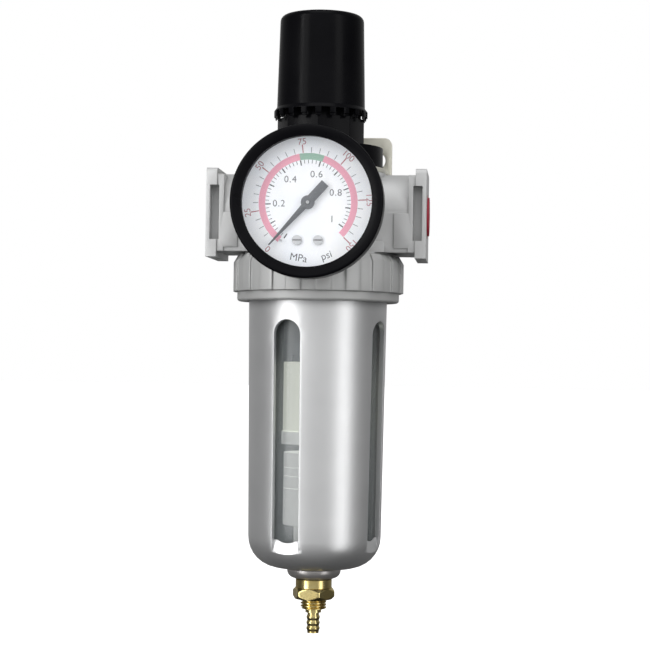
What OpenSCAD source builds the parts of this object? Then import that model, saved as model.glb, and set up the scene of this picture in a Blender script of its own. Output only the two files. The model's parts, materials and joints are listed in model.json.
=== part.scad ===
// Air filter-regulator with a gauge: a die-cast body between two threaded ports, a bonnet with an
// adjusting knob above it, and a transparent bowl in a slotted metal guard below it.
// +X runs from the inlet to the outlet, the gauge faces -Y and +Z is up. The origin is the centre
// of the inlet port, on the plane where its thread starts.

/* [Body] */
// Distance between the two port faces
port_span = 67; // [66:0.5:70]
// Height and depth of the square end flanges
flange_size = 27.2; // [26.8:0.2:28.4]
// Thickness of each end flange
flange_thick = 3.3; // [3:0.1:3.6]
// Radius of the round bosses that carry the ports
boss_r = 12.8; // [12.6:0.1:13]
// Radius of the upright centre of the casting
core_r = 20.5; // [20.3:0.1:20.8]
// Wall radius of the threaded ports
port_r = 5.72; // [5.6:0.02:5.8]
// Length of each port's thread
port_length = 10.5; // [9:0.5:10.5]

/* [Bonnet and knob] */
// Height of the bonnet's flange
bonnet_flange_h = 6.4; // [6:0.2:7]
// Radius of the bonnet's neck
neck_r = 13.45; // [13.3:0.05:13.5]
// Radius of the knob at its top
knob_r = 13; // [12.9:0.1:13.3]
// Height of the knob's top face above the port axis
knob_top = 62.2; // [61.2:0.2:63.8]
// Lead of the adjusting screw, for one turn
screw_lead = 1.25; // [1:0.05:1.25]

/* [Gauge] */
// Radius of the gauge's bezel
bezel_r = 22.2; // [22:0.05:22.3]
// Height of the gauge above the port axis
gauge_z = 0.95; // [0:0.05:1.2]
// Angle of the pointer at rest, clockwise from straight down
pointer_rest = 42; // [38:1:46]

/* [Bowl] */
// Radius of the clamp ring over its ribs
ring_r = 26.4; // [26.3:0.05:26.8]
// Number of ribs round the clamp ring
rib_count = 18; // [16:1:20]
// Radius of the guard at its top
guard_r = 21.4; // [21.3:0.05:21.5]
// Height of the guard's floor, below the port axis
guard_bottom = -108.5; // [-109.7:0.2:-108.5]
// Width of each window in the guard
window_w = 8.8; // [8:0.1:9.5]
// Angle of the first window, clockwise from the gauge's side, seen from above
window_turn = 21; // [10:1:30]

/* [Bracket] */
// Thickness of the bracket's plate
bracket_t = 1.6; // [1.4:0.1:1.6]
// Half width of the upright plate
bracket_half_w = 20.9; // [20.5:0.1:24]
// Distance of the upright plate's back face from the main axis
bracket_y = 28.8; // [28:0.1:32]
// Distance between the centres of the two slots
slot_spacing = 28; // [27.5:0.5:28]
// Length of each slot, end to end
slot_length = 9.6; // [8:0.2:10]

/* [Hidden] */
$fn = 96;
fine = 0.01;

// ports
port_recess = 1.2;
port_recess_r = 6.9;
axis_x = port_span / 2 - port_recess;
half_span = port_span / 2;
passage_r = 4.4;
outlet_passage_r = 3.6;
outlet_passage_z = 0.8;
inlet_drop_x = -15.8;
inlet_drop_r = 3.4;

// casting
deck_z = 13;
block_z = -11.8;
block_half_y = 13.2;
block_x = 23.8;
step_x = half_span - flange_thick - 2.1;
clamp_groove_x = half_span - 2.6;
clamp_groove_w = 2.8;
clamp_groove_h = 16.6;
clamp_groove_depth = 4;
skirt_r = 22.9;
skirt_bottom = -21.2;
bowl_bore_r = 20;
bowl_bore_top = -13.2;
annulus_top = -10;
annulus_r = 19;
tower_r = 11.8;
tower_bottom = -19;
pocket_r = 9.2;
pocket_top = -5;
seat_r = 4.2;
seat_lip_r = 4.8;
seat_lip_h = 0.4;
chamber_r = 8;
chamber_floor = -1.5;
chamber_top = 7;
control_r = 13.6;
control_floor = 9.4;
stem_r = 1.5;
stem_bore_r = 1.57;
sensing_hole_x = 5;
sensing_hole_r = 0.8;

// gauge ports, front and rear
gauge_port_r = 4.28;
gauge_port_face = 19.2;
gauge_port_depth = 9;
gauge_hole_r = 1.3;
spotface_r = 7.5;

// bonnet screws
screw_count = 6;
screw_circle_r = 16.9;
screw_hole_r = 1.35;
screw_tap_r = 1.25;
screw_r = 1.2;
screw_head_r = 2.05;
screw_head_h = 1.8;
screw_sink_r = 2.2;
screw_sink_depth = 2.4;
screw_tap_bottom = 6;

// bonnet
bonnet_z = deck_z + bracket_t;
bonnet_deck = bonnet_z + bonnet_flange_h;
neck_top = 30;
neck_turn = -90 - window_turn - 180 / 8;
bonnet_r = core_r - 1.05;
bonnet_tube_r = 11.4;
bonnet_bore_r = 9.6;
bonnet_roof = 44;
bonnet_top = 47;
keyway_w = 3.2;
keyway_r = 10.5;
vent_r = 0.8;
vent_z = 25.5;

// lock dogs between the knob and the bonnet's top
dog_count = 12;
dog_w = 2.1;
dog_r_in = 8;
dog_r_out = 10.6;
dog_h = 1.4;

// knob
knob_skirt_r = 13.65;
knob_rim_r = 14.5;
knob_rim_top = 33.4;
knob_rim_bottom = 30.4;
knob_tab_r = 14.1;
knob_bottom = 29.6;
knob_mouth_r = 13.8;
knob_mouth_top = 32.6;
knob_bore_r = 11.7;
knob_hub_z = 50.6;
knob_socket_top = 59.4;
knob_edge_r = 2;
notch_count = 20;
notch_w = 2.7;
notch_top = 32.1;
notch_turn = 11;
drive_side = 5.6;
drive_gap = 0.1;

// adjusting screw and its nut
thread_r = 3;
screw_bottom = 21;
collar_r = 5.6;
collar_z = 41.6;
collar_top = 42.95;
journal_r = 4;
journal_gap = 0.08;
clip_z = 47.1;
clip_t = 0.7;
clip_r = 6.4;
clip_groove_r = 3.2;
drive_top = 57;
nut_r = 9.3;
nut_z = 36;
nut_h = 4;
nut_ear_r = 10.3;
pilot_r = 6.7;
pilot_h = 2;

// diaphragm and pressure plate
diaphragm_r = 15.2;
plate_r = 9;
plate_z = bonnet_z + 0.1;
plate_top = 16.4;
stud_r = 2;
stud_flange_r = 7;
stud_flange_z = 11.7;
stud_flange_top = 12.95;
relief_r = 0.6;

// regulating spring
spring_mean_r = 7.95;
spring_wire_r = 1.05;
spring_turns = 5.5;

// valve
stem_top = 11.65;
poppet_r = 5.6;
seal_top = pocket_top - seat_lip_h - 0.02;
seal_z = -6.4;
poppet_z = -8;
guide_pin_r = 1.9;
guide_pin_bottom = -14;
guide_gap = 0.06;
guide_floor = -13;
valve_spring_mean_r = 3.6;
valve_spring_wire_r = 0.35;
valve_spring_turns = 4;

// filter stack
guide_body_r = 9.14;
guide_groove_r = 7.9;
guide_groove_top = -15.3;
guide_groove_bottom = -16.7;
guide_flange_r = 11.6;
guide_flange_bottom = -20.6;
window_hole_r = 1.5;
window_circle_r = 6.2;
rod_r = 2.4;
rod_bottom = -72.4;
louvre_r = 16.4;
louvre_top = -20.9;
louvre_bottom = -23.6;
louvre_count = 12;
deflector_r = 10.4;
deflector_cuff_r = 10.9;
deflector_cuff_z = -39.6;
deflector_bottom = -45.2;
filter_bore_r = 7.4;
filter_r = 10.3;
filter_bottom = -66.6;
baffle_r = 10.7;
baffle_bottom = -70.6;

// clamp ring
ring_core_r = ring_r - 0.6;
ring_top = -12.5;
ring_shoulder = -14.9;
ring_rib_bottom = -23.9;
ring_lower_r = ring_r - 1.35;
ring_bottom = -26.8;
ring_bore_r = 23;
ring_lip_z = -23.8;
ring_lip_r = 21.7;
ring_edge = 1.4;
rib_turn = -1.5;

// guard
guard_flange_r = 22.7;
guard_flange_top = -22.3;
guard_flange_bottom = -23.7;
guard_low_r = guard_r - 0.9;
guard_wall = 1.6;
guard_corner_r = 9.4;
guard_hole_r = 6.3;
window_top = -32.6;
window_bottom = -98.8;
ledge_slope = 4.8;

// bowl
bowl_neck_r = 19.5;
bowl_neck_top = -14;
bowl_flange_r = 22.5;
bowl_flange_top = -21.25;
bowl_flange_bottom = -22.25;
bowl_r = 18.7;
bowl_inner_r = 16.8;
bowl_corner_r = 9;
bowl_floor = guard_bottom + 4.4;
bowl_bottom = guard_bottom + 2.2;
bowl_boss_r = 6;
bowl_boss_bottom = guard_bottom - 3.45;
bowl_hole_r = 4.08;
bowl_groove_r = 18.4;
bowl_groove_top = -16.5;
bowl_groove_bottom = -18.3;
bowl_oring_r = 0.78;

// drain, measured down from the guard's floor
drain_washer_r = 8;
drain_washer_top = guard_bottom - 0.05;
drain_nut_top = guard_bottom - 0.5;
drain_nut_bottom = guard_bottom - 3.5;
drain_nut_r = 8.3;
drain_nut_dome = 2.4;
drain_head_top = guard_bottom - 3.55;
drain_hex_top = guard_bottom - 6.4;
drain_hex_bottom = guard_bottom - 9.85;
drain_thread_bottom = guard_bottom - 13;
drain_head_r = 5.6;
drain_hex_af = 11.8;
drain_thread_r = 4;
drain_upper_r = 4;
drain_seat_z = guard_bottom + 7.8;
drain_bore_r = 2.06;
drain_mouth_r = 2.5;
drain_mouth_top = guard_bottom - 10.8;
drain_stem_r = 2;
drain_tip = guard_bottom - 20.4;
drain_hole_r = 0.9;
barb_r = 2.07;
barb_waist_r = 1.8;
barb_count = 3;
barb_pitch = 1.7;
barb_first = guard_bottom - 14.75;
drain_stop_r = 2.45;
drain_stop_top = drain_thread_bottom - 0.05;
drain_stop_h = 1;
drain_cap_r = 3.6;
drain_seal_top = drain_seat_z + 1.4;
drain_cap_top = drain_seat_z + 2.6;
housing_r = 9.9;
housing_top = guard_bottom + 35.3;
housing_drum_z = guard_bottom + 13.1;
housing_neck_r = 6.5;
housing_bore_r = 4.5;
housing_roof = guard_bottom + 21.5;
housing_window_r = 1.4;
drain_spring_mean_r = 2.7;
drain_spring_wire_r = 0.35;
drain_spring_turns = 6;

// gauge, measured out from the main axis along its own axis
hex_af = 12;
socket_r = 4.2;
socket_z = 11;
rear_seal_t = 0.4;
rear_seal_r = 6;
gauge_seal_t = 0.5;
gauge_seal_r = 6.5;
case_r = 20.5;
case_wall = 1.2;
case_back = 30.4;
case_front = 40.3;
socket_front = 33.1;
socket_bore_r = 1.2;
arm_w = 4;
arm_hole_r = 0.6;
arm_z = 31.7;
bezel_back = 34.7;
bezel_front = 43;
bezel_lip_r = 18.85;
bezel_lip_z = 41.5;
lens_z = 40.35;
dial_r = 19.25;
dial_z = 36.5;
dial_t = 0.4;
dial_hole_r = 1;
dial_screw_x = 3.07;
dial_screw_y = -10.9;
dial_screw_head_r = 1.45;
dial_screw_r = 0.7;
dial_screw_end = 34.1;
movement_r = 14.5;
movement_back = 33.2;
movement_front = 35.6;
movement_t = 0.5;
pillar_r = 1.5;
pointer_z = 37.7;
pointer_t = 0.5;
pointer_hub_r = 2;
pointer_length = 16.8;
pointer_root_w = 1.9;
pointer_tip_w = 0.35;
tail_length = 7.5;
tail_w = 2.6;
shaft_r = 0.5;
shaft_gap = 0.05;
shaft_top = 38.7;
gear_z = 34;
gear_t = 0.7;
gear_module = 0.4;
pinion_teeth = 8;
sector_teeth = 56;
pinion_pitch_r = gear_module * pinion_teeth / 2;
sector_pitch_r = gear_module * sector_teeth / 2;
gear_distance = pinion_pitch_r + sector_pitch_r;
sector_pivot_angle = 135;
sector_teeth_cut = 10;
sector_hub_r = 1.5;
pivot_r = 0.7;
sector_tail = 3.2;
link_z = 34.9;
link_t = 0.4;
link_w = 1.2;
link_pin_r = 0.4;
tube_mean_r = 16.2;
tube_w = 1.4;
tube_h = 2.6;
tube_wall = 0.3;
tube_z = 31.7;
tube_turn = 262;
tube_tip_angle = 172;

// dust plug
plug_r = 6.8;
plug_depth = 1.1;
plug_button_r = 5.95;
plug_button_h = 0.6;
plug_wall = 1.8;

// moves a piece drawn about the main axis into the part's frame
module at_axis() {
    translate([axis_x, 0, 0]) children();
}

// the gauge's own frame: x to the right, y up and z out towards its reader
module at_gauge() {
    translate([axis_x, 0, gauge_z]) rotate([90, 0, 0]) children();
}

// an upright cylinder from z0 to z1
module post(r, z0, z1) {
    translate([0, 0, z0]) cylinder(r = r, h = z1 - z0);
}

// an upright tube from z0 to z1
module tube(r_out, r_in, z0, z1) {
    difference() {
        post(r_out, z0, z1);
        post(r_in, z0 - 1, z1 + 1);
    }
}

// a cylinder along X from x0 to x1
module bar_x(r, x0, x1) {
    translate([x0, 0, 0]) rotate([0, 90, 0]) cylinder(r = r, h = x1 - x0);
}

// a cylinder along Y from y0 to y1
module bar_y(r, y0, y1) {
    translate([0, y0, 0]) rotate([-90, 0, 0]) cylinder(r = r, h = y1 - y0);
}

// an upright hexagonal prism, by its width across flats
module hex_post(af, z0, z1) {
    translate([0, 0, z0]) cylinder(r = af / sqrt(3), h = z1 - z0, $fn = 6);
}

// copies a child round the main axis
module around(count, first = 0) {
    for (k = [0 : count - 1]) rotate(first + 360 * k / count) children();
}

// a torus on the main axis
module oring(mean_r, wire_r, z) {
    translate([0, 0, z]) rotate_extrude() translate([mean_r, 0]) circle(r = wire_r, $fn = 32);
}

// points of an arc, for outlines
function arc(cx, cy, r, a0, a1, steps = 8) = [
    for (k = [0 : steps]) let (a = a0 + (a1 - a0) * k / steps) [cx + r * cos(a), cy + r * sin(a)]
];

// a closed coil spring from z0 to z1, its wire swept round a helix
spring_sides = 8;
spring_steps = 20;
module coil_spring(mean_r, wire_r, z0, z1, turns) {
    count = round(turns * spring_steps);
    rise = (z1 - z0 - 2 * wire_r) / count;
    points = [
        for (k = [0 : count], s = [0 : spring_sides - 1])
            let (
                turn = 360 * k / spring_steps,
                side = 360 * s / spring_sides,
                r = mean_r + wire_r * cos(side)
            )
            [r * cos(turn), r * sin(turn), z0 + wire_r + rise * k + wire_r * sin(side)]
    ];
    walls = [
        for (k = [0 : count - 1], s = [0 : spring_sides - 1])
            let (t = (s + 1) % spring_sides, a = k * spring_sides, b = a + spring_sides)
            [a + s, b + s, b + t, a + t]
    ];
    first = [for (s = [0 : spring_sides - 1]) s];
    last = [for (s = [spring_sides - 1 : -1 : 0]) count * spring_sides + s];
    polyhedron(points = points, faces = concat([first], walls, [last]), convexity = 6);
}

// one gear tooth as an outline that points along +X
module tooth(pitch_r, addendum, dedendum) {
    half_base = gear_module * 0.92;
    half_tip = gear_module * 0.3;
    polygon([
        [pitch_r - dedendum, -half_base], [pitch_r + addendum, -half_tip],
        [pitch_r + addendum, half_tip], [pitch_r - dedendum, half_base]
    ]);
}

module end_block(side) {
    mirror([side < 0 ? 1 : 0, 0, 0]) {
        translate([half_span - flange_thick, 0, 0]) flange_plate();
        translate([step_x, -block_half_y, block_z])
            cube([half_span - step_x - 1, 2 * block_half_y, boss_r - 1.2 - block_z]);
        translate([block_x, -block_half_y, block_z + 1.2])
            cube([half_span - block_x - 1, 2 * block_half_y, -block_z - 1.2]);
    }
}

// the round bosses of both ports, flattened underneath
module port_barrel() {
    difference() {
        bar_x(boss_r, -half_span + 1, half_span - 1);
        translate([-half_span, -boss_r, -boss_r - 1]) cube([2 * half_span, 2 * boss_r, boss_r + 1 + block_z]);
    }
}

// a low pad with rounded shoulders where the casting meets its skirt
module foot_pad() {
    half_w = core_r + 0.4;
    half_depth = 14;
    height = 3.4;
    shoulder = 1;
    translate([0, half_depth, block_z]) rotate([90, 0, 0]) linear_extrude(2 * half_depth)
        polygon(concat(
            arc(half_w - shoulder, height - shoulder, shoulder, 0, 90, 4),
            arc(shoulder - half_w, height - shoulder, shoulder, 90, 180, 4),
            [[-half_w, 0], [half_w, 0]]
        ));
}

module flange_plate() {
    corner = 1.6;
    half = flange_size / 2;
    rotate([90, 0, 90]) linear_extrude(flange_thick) polygon(concat(
        arc(half - corner, half - corner, corner, 0, 90),
        arc(corner - half, half - corner, corner, 90, 180),
        [[-half, -half], [half, -half]]
    ));
}

module port_cuts(side) {
    mirror([side < 0 ? 1 : 0, 0, 0]) {
        bar_x(port_recess_r, half_span - port_recess, half_span + 1);
        bar_x(port_r, half_span - port_recess - port_length, half_span);
    }
}

module clamp_grooves() {
    for (sx = [-1, 1], sy = [-1, 1])
        translate([sx * clamp_groove_x, sy * (flange_size / 2 - clamp_groove_depth / 2 + 0.5), 0])
            cube([clamp_groove_w, clamp_groove_depth + 1, clamp_groove_h], center = true);
}

module gauge_port_cuts() {
    for (side = [0, 180]) rotate(side) translate([0, 0, gauge_z]) {
        bar_y(spotface_r, gauge_port_face, gauge_port_face + 6);
        bar_y(gauge_port_r, gauge_port_face - gauge_port_depth, gauge_port_face + 1);
        bar_y(gauge_hole_r, chamber_r - 1, gauge_port_face - gauge_port_depth + 1);
    }
}

module body() {
    color("silver") at_axis() difference() {
        union() {
            post(core_r, block_z - fine, deck_z);
            post(skirt_r, skirt_bottom, block_z);
            port_barrel();
            translate([-step_x, -boss_r, block_z]) cube([2 * step_x, 2 * boss_r, -block_z]);
            foot_pad();
            end_block(1);
            end_block(-1);
        }
        port_cuts(1);
        port_cuts(-1);
        bar_x(passage_r, -half_span + port_length, inlet_drop_x + 2);
        translate([inlet_drop_x, 0, 0]) post(inlet_drop_r, skirt_bottom, 0);
        translate([0, 0, outlet_passage_z])
            bar_x(outlet_passage_r, chamber_r - 1, half_span - port_length);
        post(control_r, control_floor, deck_z + 1);
        post(stem_bore_r, chamber_top - 1, control_floor + 1);
        translate([sensing_hole_x, 0, 0]) post(sensing_hole_r, chamber_top - 1, control_floor + 1);
        post(chamber_r, chamber_floor, chamber_top);
        post(seat_r, pocket_top - 1, chamber_floor + 1);
        difference() {
            post(pocket_r, tower_bottom - 1, pocket_top);
            tube(seat_lip_r, seat_r, pocket_top - seat_lip_h, pocket_top + 1);
        }
        tube(annulus_r, tower_r, skirt_bottom - 1, annulus_top);
        tube(bowl_bore_r, tower_r, skirt_bottom - 1, bowl_bore_top);
        post(tower_r + 1, skirt_bottom - 1, tower_bottom);
        gauge_port_cuts();
        clamp_grooves();
        around(screw_count) translate([screw_circle_r, 0, 0]) post(screw_tap_r, screw_tap_bottom, deck_z + 1);
    }
}

module slot_outline(length, width) {
    for (side = [-1, 1]) translate([side * (length - width) / 2, 0]) circle(d = width, $fn = 48);
    square([length - width, width], center = true);
}

module bracket() {
    plate_top_z = 27.8;
    foot_front = 4;
    slot_z = 20.4;
    slot_w = 5.4;
    corner = 2.6;
    color("lightgray") at_axis() {
        difference() {
            union() {
                post(core_r - 0.3, deck_z, deck_z + bracket_t);
                translate([-bracket_half_w, foot_front, deck_z])
                    cube([2 * bracket_half_w, bracket_y - foot_front, bracket_t]);
            }
            post(diaphragm_r + 0.1, deck_z - 1, deck_z + bracket_t + 1);
            around(screw_count) translate([screw_circle_r, 0, 0])
                post(screw_hole_r, deck_z - 1, deck_z + bracket_t + 1);
        }
        translate([0, bracket_y, 0]) rotate([90, 0, 0]) linear_extrude(bracket_t) difference() {
            polygon(concat(
                arc(bracket_half_w - corner, plate_top_z - corner, corner, 0, 90),
                arc(corner - bracket_half_w, plate_top_z - corner, corner, 90, 180),
                [[-bracket_half_w, deck_z], [bracket_half_w, deck_z]]
            ));
            for (side = [-1, 1]) translate([side * slot_spacing / 2, slot_z])
                slot_outline(slot_length, slot_w);
        }
    }
}

module bonnet() {
    color("#1c1c1f") at_axis() {
        difference() {
            union() {
                post(bonnet_r, bonnet_z, bonnet_deck);
                rotate(neck_turn) translate([0, 0, bonnet_deck - fine])
                    cylinder(r = neck_r, h = neck_top - bonnet_deck + fine, $fn = 8);
                post(bonnet_tube_r, neck_top - fine, bonnet_top);
            }
            post(control_r, bonnet_z - 1, bonnet_z + 2.9);
            post(bonnet_bore_r, bonnet_z, bonnet_roof);
            post(journal_r + journal_gap, bonnet_roof - 1, bonnet_top + 1);
            translate([-keyway_r, -keyway_w / 2, bonnet_z + 1])
                cube([2 * keyway_r, keyway_w, bonnet_roof - bonnet_z - 1]);
            translate([0, 0, vent_z]) bar_y(vent_r, bonnet_bore_r - 1, neck_r + 1);
            around(screw_count) translate([screw_circle_r, 0, 0]) {
                post(screw_hole_r, bonnet_z - 1, bonnet_deck + 1);
                post(screw_sink_r, bonnet_deck - screw_sink_depth, bonnet_deck + 1);
            }
        }
        around(dog_count) translate([dog_r_in, -dog_w / 2, bonnet_top - fine])
            cube([dog_r_out - dog_r_in, dog_w, dog_h]);
    }
}

module bonnet_screws() {
    head_z = bonnet_deck - screw_sink_depth;
    cross_l = 2.6;
    cross_w = 0.6;
    cross_depth = 0.9;
    color("gainsboro") at_axis() around(screw_count) translate([screw_circle_r, 0, 0]) difference() {
        union() {
            post(screw_r, screw_tap_bottom + 0.3, head_z + fine);
            post(screw_head_r, head_z, head_z + screw_head_h);
        }
        for (a = [0, 90]) rotate(a) translate([0, 0, head_z + screw_head_h])
            cube([cross_l, cross_w, 2 * cross_depth], center = true);
    }
}

module knob() {
    color("#17171a") at_axis() {
        difference() {
            rotate_extrude() polygon(concat(
                [[0, knob_bottom], [knob_tab_r, knob_bottom], [knob_tab_r, knob_rim_bottom]],
                [[knob_rim_r, knob_rim_bottom], [knob_rim_r, knob_rim_top - 1.1]],
                [[knob_skirt_r, knob_rim_top]],
                arc(knob_r - knob_edge_r, knob_top - knob_edge_r, knob_edge_r, 0, 90),
                [[0, knob_top]]
            ));
            post(knob_mouth_r, knob_bottom - 1, knob_mouth_top);
            post(knob_bore_r, knob_bottom, knob_hub_z);
            translate([0, 0, (knob_hub_z + knob_socket_top) / 2 - 0.5]) cube([
                drive_side + 2 * drive_gap, drive_side + 2 * drive_gap,
                knob_socket_top - knob_hub_z + 1
            ], center = true);
            around(notch_count, notch_turn) translate([knob_bore_r, -notch_w / 2, knob_bottom - 1])
                cube([knob_rim_r, notch_w, notch_top - knob_bottom + 1]);
        }
        around(dog_count, 180 / dog_count) translate([dog_r_in, -dog_w / 2, knob_hub_z - dog_h])
            cube([dog_r_out - dog_r_in, dog_w, dog_h + fine]);
    }
}

module adjusting_screw() {
    color("silver") at_axis() difference() {
        union() {
            post(thread_r, screw_bottom, collar_z + fine);
            post(collar_r, collar_z, collar_top);
            post(journal_r, collar_top - fine, clip_z + clip_t + 0.3);
            translate([0, 0, (clip_z + drive_top) / 2])
                cube([drive_side, drive_side, drive_top - clip_z], center = true);
        }
        tube(journal_r + 2, clip_groove_r, clip_z, clip_z + clip_t);
    }
}

module screw_clip() {
    gap = 0.03;
    mouth = 3;
    color("dimgray") at_axis() difference() {
        tube(clip_r, clip_groove_r + gap, clip_z + gap, clip_z + clip_t - gap);
        translate([0, -mouth / 2, clip_z]) cube([clip_r + 1, mouth, clip_t]);
    }
}

module thrust_washer() {
    color("tan") at_axis()
        tube(nut_r - 2.3, journal_r + journal_gap, collar_top + 0.03, bonnet_roof - 0.03);
}

module spring_nut() {
    ear_w = keyway_w - 0.2;
    color("goldenrod") at_axis() difference() {
        union() {
            post(nut_r, nut_z, nut_z + nut_h);
            post(pilot_r, nut_z - pilot_h, nut_z + fine);
            intersection() {
                post(nut_ear_r, nut_z, nut_z + nut_h);
                translate([-nut_ear_r, -ear_w / 2, nut_z]) cube([2 * nut_ear_r, ear_w, nut_h]);
            }
        }
        post(thread_r + 0.03, nut_z - pilot_h - 1, nut_z + nut_h + 1);
    }
}

module regulating_spring() {
    color("slategray") at_axis()
        coil_spring(spring_mean_r, spring_wire_r, plate_top, nut_z, spring_turns);
}

module pressure_plate() {
    color("silver") at_axis() difference() {
        union() {
            post(plate_r, plate_z, plate_top);
            post(pilot_r, plate_top - fine, plate_top + 1.8);
        }
        post(stud_r + 0.03, plate_z - 1, plate_top + 3);
    }
}

module diaphragm() {
    color("#26282c") at_axis() tube(diaphragm_r, stud_r + 0.1, deck_z, deck_z + bracket_t);
}

module diaphragm_stud() {
    color("goldenrod") at_axis() difference() {
        union() {
            post(stud_flange_r, stud_flange_z, stud_flange_top);
            post(stud_r, stud_flange_top - fine, plate_top + 1.4);
        }
        post(relief_r, stud_flange_z - 1, plate_top + 3);
    }
}

module valve_stem() {
    color("goldenrod") at_axis() {
        post(stem_r, seal_z - fine, stem_top);
        post(poppet_r, poppet_z, seal_z);
        post(guide_pin_r, guide_pin_bottom, poppet_z + fine);
    }
}

module valve_seal() {
    color("#202224") at_axis() tube(poppet_r, stem_r + 0.02, seal_z + 0.02, seal_top);
}

module valve_spring() {
    color("slategray") at_axis() coil_spring(
        valve_spring_mean_r, valve_spring_wire_r, guide_floor, poppet_z, valve_spring_turns);
}

module valve_guide() {
    color("#d8d8d2") at_axis() difference() {
        union() {
            post(guide_body_r, tower_bottom - 0.1, guide_floor);
            post(guide_flange_r, guide_flange_bottom, tower_bottom - 0.05);
            post(rod_r, rod_bottom, guide_flange_bottom + fine);
        }
        post(guide_pin_r + guide_gap, guide_pin_bottom - 1.8, guide_floor + 1);
        tube(guide_body_r + 1, guide_groove_r, guide_groove_bottom, guide_groove_top);
        around(4) translate([window_circle_r, 0, 0])
            post(window_hole_r, guide_flange_bottom - 1, guide_floor + 1);
    }
}

module guide_oring() {
    wire_r = (guide_body_r - guide_groove_r) / 2;
    color("#202224") at_axis()
        oring(guide_groove_r + wire_r, wire_r, (guide_groove_top + guide_groove_bottom) / 2);
}

module deflector() {
    slot_w = 2.2;
    slot_l = 7;
    slot_turn = 20;
    notch_w = 3.4;
    notch_h = 1.8;
    color("#8b8f93") at_axis() difference() {
        union() {
            post(louvre_r, louvre_bottom, louvre_top);
            post(deflector_r, deflector_bottom, louvre_top);
            post(deflector_cuff_r, deflector_bottom, deflector_cuff_z);
        }
        post(filter_bore_r, deflector_bottom - 1, louvre_top + 1);
        around(louvre_count) translate([louvre_r - 2, 0, louvre_bottom]) rotate(slot_turn)
            cube([slot_l, slot_w, 3 * (louvre_top - louvre_bottom)], center = true);
        around(6) translate([deflector_cuff_r, 0, deflector_bottom])
            cube([2, notch_w, 2 * notch_h], center = true);
    }
}

module filter_element() {
    color("#e9e9dc") at_axis() tube(filter_r, filter_bore_r, filter_bottom, deflector_bottom - 0.1);
}

module filter_baffle() {
    hub_r = rod_r + 1.6;
    rim_t = 1.2;
    floor_t = 1.5;
    color("#e4e6e0") at_axis() difference() {
        union() {
            post(baffle_r, baffle_bottom, filter_bottom - 0.1);
            post(hub_r, rod_bottom, baffle_bottom + fine);
        }
        tube(baffle_r - rim_t, hub_r, baffle_bottom - 1, filter_bottom - 0.1 - floor_t);
        post(rod_r + 0.03, rod_bottom - 1, filter_bottom + 1);
    }
}

module rear_port_plug() {
    head_r = 6.4;
    head_h = 2.4;
    head_y = gauge_port_face + rear_seal_t;
    key_af = 5;
    key_depth = 1.5;
    color("dimgray") at_axis() translate([0, 0, gauge_z]) difference() {
        union() {
            bar_y(socket_r, gauge_port_face - gauge_port_depth + 1, head_y + fine);
            bar_y(head_r, head_y, head_y + head_h);
        }
        translate([0, head_y + head_h - key_depth, 0]) rotate([-90, 0, 0])
            cylinder(r = key_af / sqrt(3), h = key_depth + 1, $fn = 6);
    }
}

module rear_port_seal() {
    color("#202224") at_axis() translate([0, 0, gauge_z]) difference() {
        bar_y(rear_seal_r, gauge_port_face, gauge_port_face + rear_seal_t);
        bar_y(socket_r + 0.05, gauge_port_face - 1, gauge_port_face + 1);
    }
}

module gauge_socket() {
    color("goldenrod") at_gauge() difference() {
        union() {
            post(socket_r, socket_z, gauge_port_face + gauge_seal_t + fine);
            hex_post(hex_af, gauge_port_face + gauge_seal_t, case_back - 0.02);
            post(socket_r - 0.2, case_back - 0.1, socket_front);
            translate([-arm_w / 2, -tube_mean_r + tube_w / 2 + 0.05, arm_z])
                cube([arm_w, tube_mean_r - tube_w / 2, socket_front - arm_z]);
        }
        post(socket_bore_r, socket_z - 1, socket_front - 1);
        translate([0, 0, (arm_z + socket_front) / 2]) rotate([90, 0, 0])
            cylinder(r = arm_hole_r, h = tube_mean_r);
    }
}

module gauge_seal() {
    color("#c9c3b4") at_gauge()
        tube(gauge_seal_r, socket_r + 0.05, gauge_port_face, gauge_port_face + gauge_seal_t);
}

module gauge_case() {
    color("#1a1a1c") at_gauge() difference() {
        post(case_r, case_back, case_front);
        post(case_r - case_wall, case_back + case_wall, case_front + 1);
        post(socket_r - 0.15, case_back - 1, case_back + 2);
    }
}

module gauge_bezel() {
    edge = 0.8;
    face_slope = 0.8;
    color("#141416") at_gauge() rotate_extrude() polygon(concat(
        [[case_r + 0.04, bezel_back], [bezel_r, bezel_back]],
        arc(bezel_r - edge, bezel_front - edge, edge, 0, 90, 4),
        [[bezel_lip_r, bezel_front - face_slope], [bezel_lip_r, bezel_lip_z], [case_r + 0.04, bezel_lip_z]]
    ));
}

module gauge_lens() {
    color("#e8f2f6", 0.35) at_gauge() post(case_r - 0.05, lens_z, bezel_lip_z - 0.03);
}

module gauge_dial() {
    color("#f4f6fa") at_gauge() difference() {
        post(dial_r, dial_z, dial_z + dial_t);
        post(dial_hole_r, dial_z - 1, dial_z + 1);
        for (side = [-1, 1]) translate([side * dial_screw_x, dial_screw_y, 0])
            post(dial_screw_r + 0.1, dial_z - 1, dial_z + 1);
    }
}

module dial_screws() {
    head_h = 0.6;
    slot_w = 0.45;
    color("gainsboro") at_gauge() for (side = [-1, 1])
        translate([side * dial_screw_x, dial_screw_y, 0]) difference() {
            union() {
                post(dial_screw_r, dial_screw_end, dial_z + dial_t + fine);
                post(dial_screw_head_r, dial_z + dial_t, dial_z + dial_t + head_h);
            }
            translate([0, 0, dial_z + dial_t + head_h])
                cube([3 * dial_screw_head_r, slot_w, head_h], center = true);
        }
}

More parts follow.
